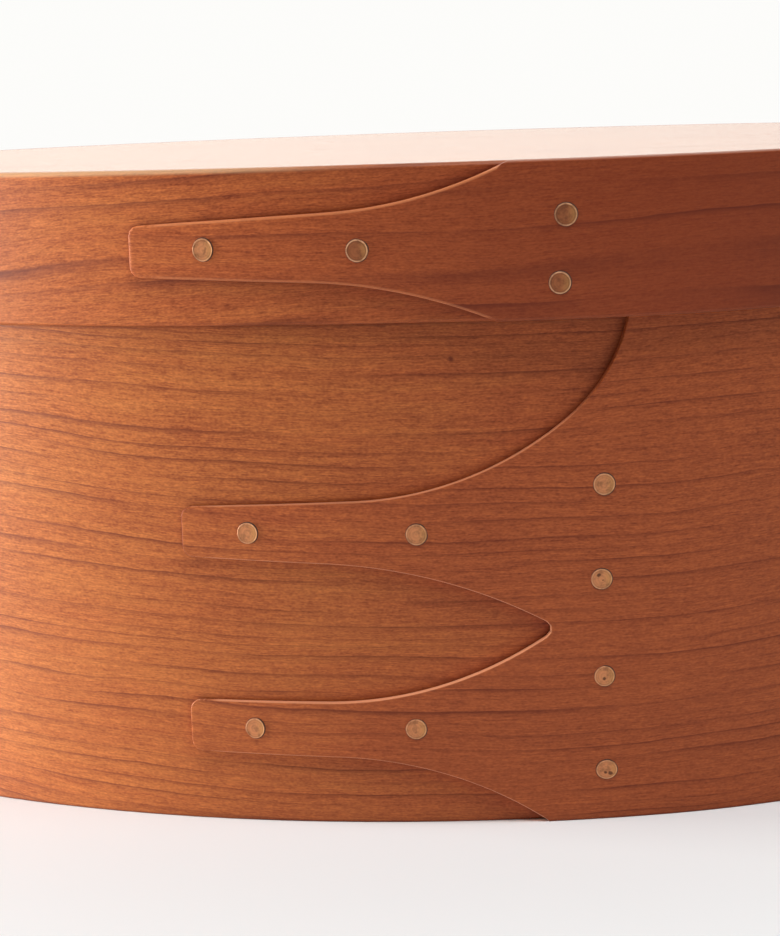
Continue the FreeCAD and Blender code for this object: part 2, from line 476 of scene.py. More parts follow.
# %% Make a band
lap_start, lap_end = -50 * mm, 90 * mm
band_smooth = 35  # degrees between faces, up to which they are shaded as one
box_arrises = (0.3 * mm, 0.25 * mm)
lid_arrises = (0.8 * mm, 0.55 * mm)


def make_band(name, start, heading, moves, rims, arrises, feather, inside, gap):
    """Cut, ease, plane and bend one band. The arrises are those of its rim and of its fingers."""
    bottom, top = rims
    end_s = around + feather_end(feather)
    strip = begin_outline(name, start)
    close_outline(knife_walk(start, heading, moves), start, end_s)
    saw((0, 0, top), (0, 0, 1))
    saw((0, 0, bottom), (0, 0, -1))
    thicken(top, *arrises)
    bpy.ops.object.mode_set(mode="OBJECT")
    saw_columns(strip, lap_start, lap_end, end_s)
    keep_flat_position(strip)

    def thinning(place):
        planed = tip_thinning(place.x) + end_thinning(place.x - around, feather)
        return planed * max(-place.y / band_thickness, 0.0)

    def stand_off(place):
        if place.x > around + lap_start:
            return inside(place.x - around)
        return gap(place.x)

    push(strip, thinning, 1)
    if max(stand_off(vertex.co) for vertex in strip.data.vertices) > 0:
        push(strip, stand_off, -1)
    bend(strip)
    smooth_over(strip, band_smooth)
    return strip


box_band = make_band("bent_box_band", box_start, box_heading, box_outline, (0, box_high.z),
                     box_arrises, box_feather, box_inside, box_gap)
lid_band = make_band("bent_lid_band", lid_start, lid_heading, lid_outline, (lid_low.z, lid_high.z),
                     lid_arrises, lid_feather, lid_inside, lid_gap)
for band in (box_band, lid_band):
    print(band.name, "measures", [round(size / mm, 2) for size in band.dimensions])


# %% [markdown]
# ## The boards
#
# A board is sawn to fit inside its band, then planed flat. Its rim could be drawn as arcs, but the
# lid's rim also swells over the lap, so it is made like a band: a flat ribbon, pushed to its offset
# and bent on the same form. The two open loops are then filled, and the edges lightly eased.

# %% Make a board
board_arris = 0.2 * mm


def make_board(name, inside, bottom, top):
    """A flat board that fills the oval inside a band."""
    board = begin_outline(name, (0, bottom))
    place = knife_to((0, bottom), (around, bottom))
    place = knife_to(place, (around, top))
    place = knife_to(place, (0, top))
    knife_to(place, (0, bottom))
    bpy.ops.mesh.select_all(action="SELECT")
    bpy.ops.mesh.remove_doubles(threshold=touching)
    bpy.ops.mesh.edge_face_add()
    choose("EDGE", lambda edge: edge.calc_length() > 0.9 * around)
    bpy.ops.mesh.subdivide(number_cuts=round(around / plain_columns))
    bpy.ops.object.mode_set(mode="OBJECT")
    if inside(0) > 0:
        push(board, lambda place: inside(place.x) - board_gap, -1)
    else:
        push(board, lambda place: board_gap, 1)
    bend(board)
    bpy.ops.object.mode_set(mode="EDIT")
    bpy.ops.mesh.select_all(action="SELECT")
    bpy.ops.mesh.remove_doubles(threshold=touching)
    for level in (bottom, top):
        choose("EDGE", lambda edge: all(abs(v.co.z - level) < touching for v in edge.verts))
        bpy.ops.mesh.edge_face_add()
    bpy.ops.mesh.select_all(action="SELECT")
    bpy.ops.mesh.normals_make_consistent(inside=False)
    choose("EDGE", lambda edge: abs(edge.verts[0].co.z - edge.verts[1].co.z) < touching)
    bpy.ops.mesh.bevel(offset=board_arris, segments=2, affect="EDGES", clamp_overlap=False)
    bpy.ops.object.mode_set(mode="OBJECT")
    smooth_over(board, band_smooth)
    return board


bottom_board = make_board("planed_bottom_board", box_inside, bottom_low.z, bottom_high.z)
lid_board = make_board("planed_lid_board", lid_inside, lid_board_low.z, lid_board_high.z)

# %% [markdown]
# ## The tacks
#
# A copper tack is driven from the outside against an iron, so its point turns over on the inner
# face and clinches. Its head is slightly dished, with a rounded rim that catches the light. Round it
# lies a thin ring that carries a painted shadow, wider on the side where the shade falls. One tack
# is shaped from a cylinder: its front is inset and extruded into the head, the face is inset and
# dished, the rim bevelled, and the back inset and extruded into the shank and the turned point. The
# hammer spreads every head a little differently. A blow is a pull on one vertex of the rim that its
# neighbours follow, and its place comes from a seed, so that the tack is the same each time.

# %% Sizes of a tack
head_sides = 40
head_radius = 1.85 * mm
head_thickness = 0.55 * mm
head_proud = 0.26 * mm
rim_round = 0.1 * mm
rim_width = 0.26 * mm
face_dish = 0.1 * mm
# The thin ring round each head carries a painted shadow.
ring_shadow_width = 0.14 * mm
ring_shadow_proud = 0.02 * mm
ring_shadow_shift = (0.05 * mm, 0.04 * mm)  # the painted shadow ring is wider on one side, across and up
shank_radius = 0.65 * mm
shank_taper, neck_taper = 0.8, 0.9
edge_slack = 0.05 * mm
struck_radius = 0.2 * mm
clinch_reach = 1.3 * mm
clinch_thickness = 0.4 * mm
clinch_point = (1, 0.6, 0.5)  # how much narrower the turned point ends
hammer_blows = 3
blow_reach = 1.3 * mm
blow_least, blow_most = -0.12, 0.04  # millimetres, inwards is negative
head_smooth = 50  # degrees, as for the bands


# %% Make a tack
def facing(sign, y):
    """A test for faces that look backwards (1) or forwards (-1) and lie at one depth."""
    return lambda face: sign * face.normal.y > 0.9 and abs(face.calc_center_median().y - y) < 0.02 * mm


def on_ring(y, radius):
    """A test for edges at one depth that lie outside a radius."""
    return lambda edge: all(abs(v.co.y - y) < touching and v.co.xz.length > radius for v in edge.verts)


def make_tack(name, through, seed):
    """A tack whose head lies on the plane y = 0, with its point turned over beyond `through`."""
    bpy.ops.object.select_all(action="DESELECT")
    back = head_thickness - head_proud
    bpy.ops.mesh.primitive_cylinder_add(
        vertices=head_sides, radius=head_radius + ring_shadow_width, depth=back + ring_shadow_proud,
        rotation=(math.pi / 2, 0, 0), location=(0, (back - ring_shadow_proud) / 2, 0))
    bpy.ops.object.transform_apply(location=True, rotation=True, scale=True)
    tack = bpy.context.object
    tack.name = name
    bpy.ops.object.mode_set(mode="EDIT")
    choose("FACE", facing(-1, -ring_shadow_proud))
    bpy.ops.transform.translate(value=(ring_shadow_shift[0], 0, ring_shadow_shift[1]))
    bpy.ops.mesh.inset(thickness=ring_shadow_width, depth=0)
    rise = (-ring_shadow_shift[0], ring_shadow_proud - head_proud, -ring_shadow_shift[1])
    bpy.ops.mesh.extrude_region_move(TRANSFORM_OT_translate={"value": rise})
    choose("FACE", facing(1, back))
    bpy.ops.mesh.inset(thickness=head_radius + ring_shadow_width - shank_radius, depth=0)
    shank_length = through - back - clinch_thickness
    for depth, shrink in ((shank_length, shank_taper), (clinch_thickness, neck_taper)):
        bpy.ops.mesh.extrude_region_move(TRANSFORM_OT_translate={"value": (0, depth, 0)})
        bpy.ops.transform.resize(value=(shrink, 1, shrink))
    point = through - clinch_thickness
    choose("FACE", lambda face: face.normal.x > 0.5 and face.calc_center_median().y > point)
    bpy.ops.mesh.extrude_region_move(TRANSFORM_OT_translate={"value": (clinch_reach, 0, 0)})
    bpy.ops.transform.resize(value=clinch_point, center_override=(0, through, 0))
    choose("FACE", facing(-1, -head_proud))
    bpy.ops.mesh.inset(thickness=rim_width, depth=-face_dish)
    choose("EDGE", on_ring(-head_proud, head_radius - edge_slack))
    bpy.ops.mesh.bevel(offset=rim_round, segments=3, affect="EDGES", clamp_overlap=False)
    chance = random.Random(seed)
    for _ in range(hammer_blows):
        angle = chance.uniform(0, 2 * math.pi)
        aim = Vector((math.cos(angle), 0, math.sin(angle)))
        hit = aim * head_radius
        choose("VERT", lambda vertex: (vertex.co - hit).xz.length < struck_radius and vertex.co.y < 0)
        bpy.ops.transform.translate(
            value=aim * chance.uniform(blow_least, blow_most) * mm, use_proportional_edit=True,
            proportional_edit_falloff="SMOOTH", proportional_size=blow_reach)
    bpy.ops.object.mode_set(mode="OBJECT")
    smooth_over(tack, head_smooth)
    return tack


def drive_tack(name, place, spread, inside, gap, seed):
    """Make a tack, spread its head by hammering, and put it through both layers of a lap."""
    s, z = place

    def outside(at):
        return gap(at) + band_thickness - tip_thinning(at)

    tack = make_tack(name, outside(s) - inside(s), seed)
    keep_flat_position(tack)
    rise = math.atan((outside(s + mm) - outside(s - mm)) / (2 * mm))
    _, direction = oval_place(s)
    widen = Matrix.Diagonal((spread[0], 1, spread[1], 1))
    turned = Matrix.Rotation(direction - rise, 4, "Z")
    tack.data.transform(Matrix.Translation(band_point(s, z, outside(s))) @ turned @ widen)
    return tack


box_spreads = [
    (0.97, 0.98), (0.96, 0.96), (0.92, 0.95), (0.96, 0.93),
    (0.98, 0.98), (0.97, 0.94), (0.93, 0.94), (0.98, 0.88),
]
lid_spreads = [(0.96, 1.04), (1.0, 1.01), (1.01, 1.02), (0.98, 0.99)]
box_tacks = [
    drive_tack("copper_tack_box_%d" % number, place, spread, box_inside, box_gap, number)
    for number, (place, spread) in enumerate(zip(box_tack_places, box_spreads), 1)
]
lid_tacks = [
    drive_tack("copper_tack_lid_%d" % number, place, spread, lid_inside, lid_gap, 20 + number)
    for number, (place, spread) in enumerate(zip(lid_tack_places, lid_spreads), 1)
]

# %% [markdown]
# ## The pegs
#
# Small wooden pegs go through the band into the edge of each board, all round but for the lap. They
# are cut off and sanded flush, so only their end grain shows, standing a hair proud.

# %% Make a peg
peg_radius = 0.9 * mm
peg_length = 11 * mm
peg_proud = 0.05 * mm
peg_count = 10
first_peg = 98 * mm
peg_sides = 12
peg_taper = 0.75
peg_arris = 0.04 * mm
peg_ring = 0.12 * mm


def make_peg(name, s, z, inside):
    """A peg split from a square stick and rounded, tapering towards its inner end."""
    bpy.ops.object.select_all(action="DESELECT")
    bpy.ops.mesh.primitive_cylinder_add(
        vertices=peg_sides, radius=peg_radius, depth=peg_length, rotation=(math.pi / 2, 0, 0),
        location=(0, peg_length / 2, 0))
    bpy.ops.object.transform_apply(location=True, rotation=True, scale=True)
    peg = bpy.context.object
    peg.name = name
    bpy.ops.object.mode_set(mode="EDIT")
    choose("FACE", facing(1, peg_length))
    bpy.ops.transform.resize(value=(peg_taper, 1, peg_taper))
    choose("FACE", facing(-1, 0))
    bpy.ops.mesh.inset(thickness=peg_ring, depth=0)
    choose("EDGE", on_ring(0, 0.95 * peg_radius))
    bpy.ops.mesh.bevel(offset=peg_arris, segments=2, affect="EDGES", clamp_overlap=False)
    bpy.ops.object.mode_set(mode="OBJECT")
    bpy.ops.object.shade_smooth_by_angle(angle=math.radians(head_smooth))
    _, direction = oval_place(s)
    head = band_point(s, z, inside(lap_start) + band_thickness + peg_proud)
    peg.data.transform(Matrix.Translation(head) @ Matrix.Rotation(direction, 4, "Z"))
    return peg


def make_pegs(name, inside, z):
    """Pegs at equal steps round the oval, all at one height."""
    pitch = (around - 2 * first_peg) / (peg_count - 1)
    places = [first_peg + pitch * index for index in range(peg_count)]
    return [make_peg(name % number, s, z, inside) for number, s in enumerate(places, 1)]


box_pegs = make_pegs("wood_peg_box_%02d", box_inside, (bottom_low.z + bottom_high.z) / 2)
lid_pegs = make_pegs("wood_peg_lid_%02d", lid_inside, (lid_board_low.z + lid_board_high.z) / 2)
print(len(box_pegs), "pegs in the box and", len(lid_pegs), "in the lid")

# %% [markdown]
# ## Writing a material as sums
#
# A pattern is easier to read as a formula than as a web of nodes. So a Signal wraps one output of a
# node graph, and Python's own + - * / on Signals add the Math nodes. Every other node comes from
# one method of the Finish that owns the graph.

# %% Signals and finishes
class Signal:
    """One output in a node graph, which arithmetic can work on."""

    def __init__(self, finish, socket):
        self.finish = finish
        self.socket = socket

    def math(self, operation, *values):
        made = self.finish.node("ShaderNodeMath", {"operation": operation}, dict(enumerate(values)))
        return made["Value"]

    def __add__(self, other):
        return self.math("ADD", self, other)

    def __sub__(self, other):
        return self.math("SUBTRACT", self, other)

    def __rsub__(self, other):
        return self.math("SUBTRACT", other, self)

    def __mul__(self, other):
        return self.math("MULTIPLY", self, other)

    def __truediv__(self, other):
        return self.math("DIVIDE", self, other)

    def __pow__(self, other):
        return self.math("POWER", self, other)

    __radd__ = __add__
    __rmul__ = __mul__

    def fraction(self):
        return self.math("FRACT", self)

    def whole(self):
        return self.math("FLOOR", self)

    def cosine(self):
        return self.math("COSINE", self)

    def rise(self, low, high):
        """0 below low and 1 above high, smooth between."""
        made = self.finish.node("ShaderNodeMapRange", {"interpolation_type": "SMOOTHSTEP"},
                                {"Value": self, "From Min": low, "From Max": high})
        return made["Result"]


class Made:
    """A node that was added, whose outputs are fetched by name as Signals."""

    def __init__(self, finish, node):
        self.finish = finish
        self.node = node

    def __getitem__(self, name):
        found = [out for out in self.node.outputs if name in (out.identifier, out.name)]
        return Signal(self.finish, found[0])


class Finish:
    """A node graph that starts empty, and one method that adds any node to it."""

    def __init__(self, tree):
        self.tree = tree
        tree.nodes.clear()

    def node(self, kind, settings=None, values=None):
        node = self.tree.nodes.new(kind)
        for name, value in (settings or {}).items():
            setattr(node, name, value)
        for name, value in (values or {}).items():
            socket = self.find(node.inputs, name)
            if isinstance(value, Signal):
                self.tree.links.new(value.socket, socket)
            else:
                socket.default_value = value
        return Made(self, node)

    @staticmethod
    def find(sockets, name):
        if isinstance(name, int):
            return sockets[name]
        return next(socket for socket in sockets if name in (socket.identifier, socket.name))

    def noise(self, vector, scale, detail=2.0, roughness=0.5):
        made = self.node("ShaderNodeTexNoise", None,
                         {"Vector": vector, "Scale": scale, "Detail": detail, "Roughness": roughness})
        return made["Fac"]

    def vector(self, x, y, z):
        return self.node("ShaderNodeCombineXYZ", None, {"X": x, "Y": y, "Z": z})["Vector"]

    def mix(self, factor, first, second):
        """A colour between the first and the second, with the factor kept between 0 and 1."""
        made = self.node("ShaderNodeMix", {"data_type": "RGBA", "clamp_factor": True},
                         {"Factor_Float": factor, "A_Color": first, "B_Color": second})
        return made["Result_Color"]

    def bump(self, strength, distance, height):
        """The normal of a surface that a height in 0 to 1 raises by up to the distance."""
        made = self.node("ShaderNodeBump", None,
                         {"Strength": strength, "Distance": distance, "Height": height})
        return made["Normal"]

    def place_parts(self, output="Object"):
        """The three parts of a texture coordinate."""
        place = self.node("ShaderNodeTexCoord")[output]
        parts = self.node("ShaderNodeSeparateXYZ", None, {"Vector": place})
        return parts["X"], parts["Y"], parts["Z"]

    def flat_parts(self):
        """The three parts of the flat position that a piece keeps."""
        place = self.node("ShaderNodeAttribute", {"attribute_name": "flat"})["Vector"]
        parts = self.node("ShaderNodeSeparateXYZ", None, {"Vector": place})
        return parts["X"], parts["Y"], parts["Z"]


def new_finish(name):
    material = bpy.data.materials.new(name)
    material.use_nodes = True
    return material, Finish(material.node_tree)


# %% [markdown]
# ## Cherry
#
# Cherry shows four things, and all run with the grain: growth lines a few millimetres apart that
# wander along the board, soft bands that lean towards gold or towards red, fine fibres, and the
# short dark dashes of its pores. Each is a noise stretched along the strip. They are added up as a
# tone between a deep and a light colour, and the fibres also give a slight relief and change of
# gloss. A strip is never one colour from end to end, so a slow wave leans it to gold or to a deep
# red along its length. One crest of the gold wave lies at the left end of the front, where the
# window shines, and lightens the wood there too, so the gold there is partly painted warm light.

# %% Cherry colours
cherry_light = (0.62, 0.157, 0.044, 1)
cherry_deep = (0.17, 0.024, 0.007, 1)
cherry_gold = (0.69, 0.239, 0.060, 1)
cherry_amber = (0.25, 0.050, 0.014, 1)
cherry_red = (0.22, 0.033, 0.010, 1)
# Colour of growth lines and pores, and also of the painted shade and shadows.
cherry_line_and_shade = (0.13, 0.018, 0.007, 1)
# Cut colours: paler cut wood, and partly a painted highlight on the arrises.
cherry_cut_and_highlight = (0.85, 0.38, 0.21, 1)
cherry_lid_cut_and_highlight = (0.85, 0.32, 0.14, 1)
# A painted highlight colour for the lid's rim.
cherry_rim_highlight = (0.90, 0.64, 0.37, 1)


# %% Places in the wood
def grain_place(finish, source):
    """The wood's own coordinates in millimetres: along the grain, through it and across it."""
    if source == "flat":
        along, through, across = finish.flat_parts()
    else:
        along, across, through = finish.place_parts()
    return along / mm, through / mm, across / mm


def stretched(finish, place, lengths, detail=2.0, roughness=0.5):
    """Noise whose patches have these lengths in millimetres, one for each part of the place."""
    parts = [part / length for part, length in zip(place, lengths)]
    return finish.noise(finish.vector(*parts), 1.0, detail, roughness)


def wave(along, crest, length):
    """A slow wave along the grain, 1 at its crest and -1 halfway to the next one."""
    return ((along - crest) * (2 * math.pi / length)).cosine()


def lean(along, least, most, crest, length):
    """How far the wood leans to a colour, between a least and a most."""
    return wave(along, crest, length) * ((most - least) / 2) + (most + least) / 2


# %% [markdown]
# ### Growth lines
#
# Each year's growth ends in a thin dark line. The distance across the grain is bent by slow noise
# and divided by the pitch of the lines, and the fraction that is left climbs from 0 to 1 over each
# year. Raised to a power, it stays near 0 and shoots up at the end, which draws the line.

# %% Growth lines
def run_of_grain(finish, place, drift):
    """The distance across the grain, which drifts by (amplitude, crest, length) and wavers."""
    along, _, height = place
    amplitude, crest, length = drift
    warp = stretched(finish, place, (70, 20, 22))
    waver = stretched(finish, place, (6, 2, 1.2))
    return height + amplitude * wave(along, crest, length) + (warp - 0.5) * 5.0 + (waver - 0.5) * 0.4


def growth_lines(finish, grain, lines):
    """Lines of (pitch, strength, sharpness) that fade in and out along the grain."""
    along, through, across = grain
    pitch, strength, sharpness = lines
    spread = stretched(finish, (along, 0.0, across), (900, 1, 9), detail=1.0)
    ring = across / pitch + (spread - 0.5) * 3.2
    part = ring.fraction()
    late = part ** sharpness * (1 - part.rise(0.95, 1.0)) + part ** 3.0 * 0.1
    vary = finish.noise(finish.vector(along / 45, ring.whole() * 7.3, through / 8), 1.0)
    return late * vary.rise(0.3, 0.72) * strength


# %% [markdown]
# ### Marks on the wood, and painted light and shade
#
# On the plain cherry lie the marks of making and of age, and beside them painted light and shade:
# painted shade in the corners beside steps, a painted shadow below the lid's rim and along the foot,
# and painted highlights on the cut edges and on the lid's rim. Each mark is a function that takes the
# colour so far and gives it back changed, so a piece simply lists the marks that it has. The shaded
# corners could be painted by hand. An Ambient Occlusion node finds them instead, as it measures how
# far a step beside a place shuts out the light, and its shade is painted into the colour.

# %% Knot, painted corner shade, and painted shadows below the lid and at the foot
Wood = namedtuple("Wood", "along through height fleck")
corner_reach = 1.6 * mm


def pin_knot(knot_along, knot_height):
    """A knot the size of a pinhead, a little drawn out along the grain."""

    def mark(finish, wood, colour):
        beside = (wood.along - knot_along) / 1.4
        above = wood.height - knot_height
        away = (beside * beside + above * above) ** 0.5 + (wood.fleck - 0.5) * 0.3
        return finish.mix(0.8 - away.rise(0.1, 0.6) * 0.8, colour, cherry_line_and_shade)

    return mark


def painted_corner_shade(strength):
    """Painted shade: the corner beside a step is darkened about as far as the step is high."""

    def mark(finish, wood, colour):
        corner = finish.node("ShaderNodeAmbientOcclusion", {"samples": 8, "only_local": True},
                             {"Distance": corner_reach})["AO"]
        # Painted shade: the colour darkens where the step shuts out the light.
        return finish.mix((1 - corner.rise(0.5, 1.0)) * strength, colour, cherry_line_and_shade)

    return mark


def painted_shadow_under_lid(rim):
    """Painted shadow of the lid's rim: a thin dark line below it on a soft shade, not on the outer end.
    """

    def mark(finish, wood, colour):
        thin = wood.height.rise(rim - 0.8, rim - 0.35) * 0.34
        soft = wood.height.rise(rim - 3, rim - 0.3) * 0.15
        shade = (thin + soft) * wood.along.rise(150, 450) * (1 - wood.height.rise(rim, rim + 1.5))
        return finish.mix(shade, colour, cherry_line_and_shade)

    return mark


def painted_foot_shadow(finish, wood, colour):
    """Painted shadow along the lower edge where the band stands on the floor, darkest at the foot."""
    shade = (1 - wood.height.rise(0.0, 3.0)) * 0.14 + (1 - wood.height.rise(0.15, 0.6)) * 0.42
    return finish.mix(shade, colour, cherry_line_and_shade)


# %% Cut edges with a painted highlight, and a painted rim highlight
def pale_cut_and_highlight(tip, lower_rim, paint, paleness_and_highlight, upper_rim=None, dark_from=None, worn_above=None):
    """The paler wood of the knife's cut round the fingers, which end at the tip.

    The paint shows by (below, above, split): one paleness below a height and another above it, set
    by how brightly the light catches those edges, so the paleness is partly a painted highlight.
    The cut is chipped near the tip and faint on the rims. From one place along the strip on, the pale
    cut fades out, and above one height the tip may be worn."""

    def mark(finish, wood, colour):
        outer = -band_thickness / mm
        cut = wood.through.rise(outer, outer + 0.12) * (1 - wood.through.rise(-0.15, 0.0))
        cut = cut * (wood.height.rise(lower_rim + 0.5, lower_rim + 0.9) * 0.85 + 0.15)
        if upper_rim is not None:
            cut = cut * (1 - wood.height.rise(upper_rim - 1.0, upper_rim - 0.6) * 0.75)
        if dark_from is not None:
            cut = cut * (1 - wood.along.rise(dark_from, dark_from + 10))
        chips = stretched(finish, (wood.along, 0.0, wood.height), (0.7, 1, 0.7)).rise(0.45, 0.6)
        whole = wood.along.rise(tip + 3, tip + 6)
        below, above, split = paleness_and_highlight
        # How pale the cut is painted above and below a height follows how the light catches the edges.
        fresh_and_lit = wood.height.rise(split - 1, split + 1) * (above - below) + below
        colour = finish.mix(cut * (whole * 0.9 + (1 - whole) * chips * 0.5) * fresh_and_lit, colour, paint)
        if worn_above is None:
            return colour
        worn = 1 - wood.along.rise(tip + 0.8, tip + 2.5)
        worn = worn * wood.height.rise(worn_above, worn_above + 5)
        return finish.mix(cut * worn * 0.85, colour, cherry_deep)

    return mark


def painted_rim_highlight(rim, front):
    """A painted highlight on the rim, from the end of the oval up to the middle of the front."""

    def mark(finish, wood, colour):
        highlight = wood.height.rise(rim - 1.05, rim - 0.35) * wood.along.rise(430, 600) * 0.4
        highlight = highlight * (1 - wood.along.rise(front - 34, front))
        return finish.mix(highlight, colour, cherry_rim_highlight)

    return mark


# %% The wood
oiled_ior = 1.45
fibre_height = 0.03 * mm
back_starts = (110, 230)
back_ends = (560, 600)


def cherry(name, source, drift, lines, gold_and_light, red, figure=1.0, gloss=0.42, shine=0.28, marks=()):
    """Cherry on one source of coordinates.

    Drift and lines are as above. Gold_and_light and red say how far the wood leans to each colour:
    (least, most, crest, length). The gold also lightens the tone, and its crest is put where the
    window shines, so it is partly painted warm light. Figure is how lively the fine grain is, and
    the red fades round the back."""
    material, finish = new_finish(name)
    place = grain_place(finish, source)
    along, through, height = place
    grain = (along, through, run_of_grain(finish, place, drift))
    line = growth_lines(finish, grain, lines)
    mottle = stretched(finish, place, (20, 10, 11))
    bands = stretched(finish, grain, (50, 12, 2.0))
    streak = stretched(finish, grain, (18, 1.5, 0.32), roughness=0.6)
    fibre = stretched(finish, grain, (2.8, 0.5, 0.24), roughness=0.6)
    fleck = stretched(finish, grain, (0.5, 0.4, 0.23), detail=0.0)
    pores = stretched(finish, grain, (2.2, 0.3, 0.16), detail=0.0).rise(0.58, 0.72)

    # Partly painted warm light: the gold lean crests where the window shines and lightens the tone.
    gold_and_light_part = lean(along, *gold_and_light)
    lively = (gold_and_light_part * 0.5 + 1.0) * (height.rise(15, 60) * 0.18 + 0.82) * figure
    fine = (streak - 0.5) * 0.5 + (fibre - 0.5) * 1.05 + (fleck - 0.5) * 0.65
    tone = (fine + (bands - 0.5) * 0.2 + (mottle - 0.5) * 0.2) * lively + 0.55 + gold_and_light_part * 0.2
    golden_and_lit = gold_and_light_part * 1.6 + (bands - 0.5) * 0.6 + (mottle - 0.5) * 0.6
    light = finish.mix(golden_and_lit, cherry_light, cherry_gold)
    deep = finish.mix(golden_and_lit, cherry_deep, cherry_amber)
    colour = finish.mix(tone, deep, light)
    at_front = 1 - along.rise(*back_starts) * (1 - along.rise(*back_ends))
    colour = finish.mix(lean(along, *red) * at_front, colour, cherry_red)
    colour = finish.mix(line, colour, cherry_line_and_shade)
    colour = finish.mix(pores * lively * 0.25, colour, cherry_line_and_shade)
    wood = Wood(along, through, height, fleck)
    for mark in marks:
        colour = mark(finish, wood, colour)

    relief = fibre - pores * 0.6 - line * 0.4
    rough = gloss + (fibre - 0.5) * 0.12 + line * 0.1
    surface = finish.node("ShaderNodeBsdfPrincipled", None, {
        "Base Color": colour, "Roughness": rough, "Normal": finish.bump(0.5, fibre_height, relief),
        "IOR": oiled_ior, "Specular IOR Level": shine,
    })
    finish.node("ShaderNodeOutputMaterial", None, {"Surface": surface["BSDF"]})
    return material


# %% Cherry for each piece
def finger_tip(band):
    """Where the fingers of a band end, along the flat strip in millimetres."""
    return min(place.vector.x for place in band.data.attributes["flat"].data) / mm


one_turn = around / mm
lid_rim, lid_top = lid_low.z / mm, lid_high.z / mm

box_marks = [
    pin_knot(one_turn + 9.3, 79.3), painted_corner_shade(0.4), painted_shadow_under_lid(lid_rim), painted_foot_shadow,
    pale_cut_and_highlight(finger_tip(box_band), 0, cherry_cut_and_highlight, (0.75, 0.44, 50), dark_from=25, worn_above=35),
]
lid_marks = [
    painted_corner_shade(0.5),
    pale_cut_and_highlight(finger_tip(lid_band), lid_rim, cherry_lid_cut_and_highlight, (0.3, 0.48, 98), upper_rim=lid_top),
    painted_rim_highlight(lid_top, one_turn),
]
box_band_cherry = cherry(
    "cherry_box_band", "flat", drift=(13, 20, 663), lines=(2.6, 1.0, 7.0),
    gold_and_light=(-0.25, 0.4, 590, 345), red=(0.04, 0.1, 40, 400), figure=0.88, marks=box_marks)
lid_band_cherry = cherry(
    "cherry_lid_band", "flat", drift=(4.2, 500, 500), lines=(6.6, 1.0, 4.5),
    gold_and_light=(-0.25, 0.2, 590, 345), red=(0.0, 0.75, 60, 225), figure=0.9, marks=lid_marks)
board_cherry = cherry(
    "cherry_board", "object", drift=(5, 40, 420), lines=(6.5, 0.5, 8.0),
    gold_and_light=(0.1, 0.4, -120, 500), red=(0, 0.05, 120, 500), gloss=0.24, shine=0.5,
    marks=[painted_corner_shade(0.4)])
peg_cherry = cherry(
    "cherry_peg", "object", drift=(5, 40, 420), lines=(1.1, 0.6, 8.0),
    gold_and_light=(0, 0.3, -120, 500), red=(0, 0.05, 120, 500), marks=[painted_corner_shade(0.4)])
print("fingers end at", finger_tip(box_band), finger_tip(lid_band), "and one turn is", one_turn)

# %% [markdown]
# ## Copper
#
# The heads have dulled to a tan brown. The rounded rim is painted brighter, partly as copper that
# hands and cloths keep bright and partly as a painted highlight, and a painted shade darkens the
# groove inside it. Each face is painted golder towards one side, a painted highlight mixed with
# random cloud. Most tacks of the lid are browner, and on three heads of the box the hammer left dark
# pits. The pattern reads the position that each tack had before it was driven, so the rim, the
# painted shadow ring round the head and the pits are found by their distance from a point on the
# face.

# %% Copper
copper_tan = (0.70, 0.28, 0.12, 1)
copper_brown = (0.46, 0.15, 0.06, 1)
# Gold for random tone, and for a painted highlight on one side of each face.
copper_gold_and_highlight = (0.66, 0.33, 0.11, 1)
# Rim colour: partly rubbed copper, partly a painted highlight.
copper_rim_polish_and_highlight = (0.92, 0.55, 0.32, 1)
# Pits, and the painted shade in the groove inside the rim.
copper_pit_and_shade = (0.10, 0.035, 0.018, 1)
# Painted shadow colour for the ring round each head.
ring_shadow_colour = (0.10, 0.028, 0.013, 1)
dent_height = 0.05 * mm


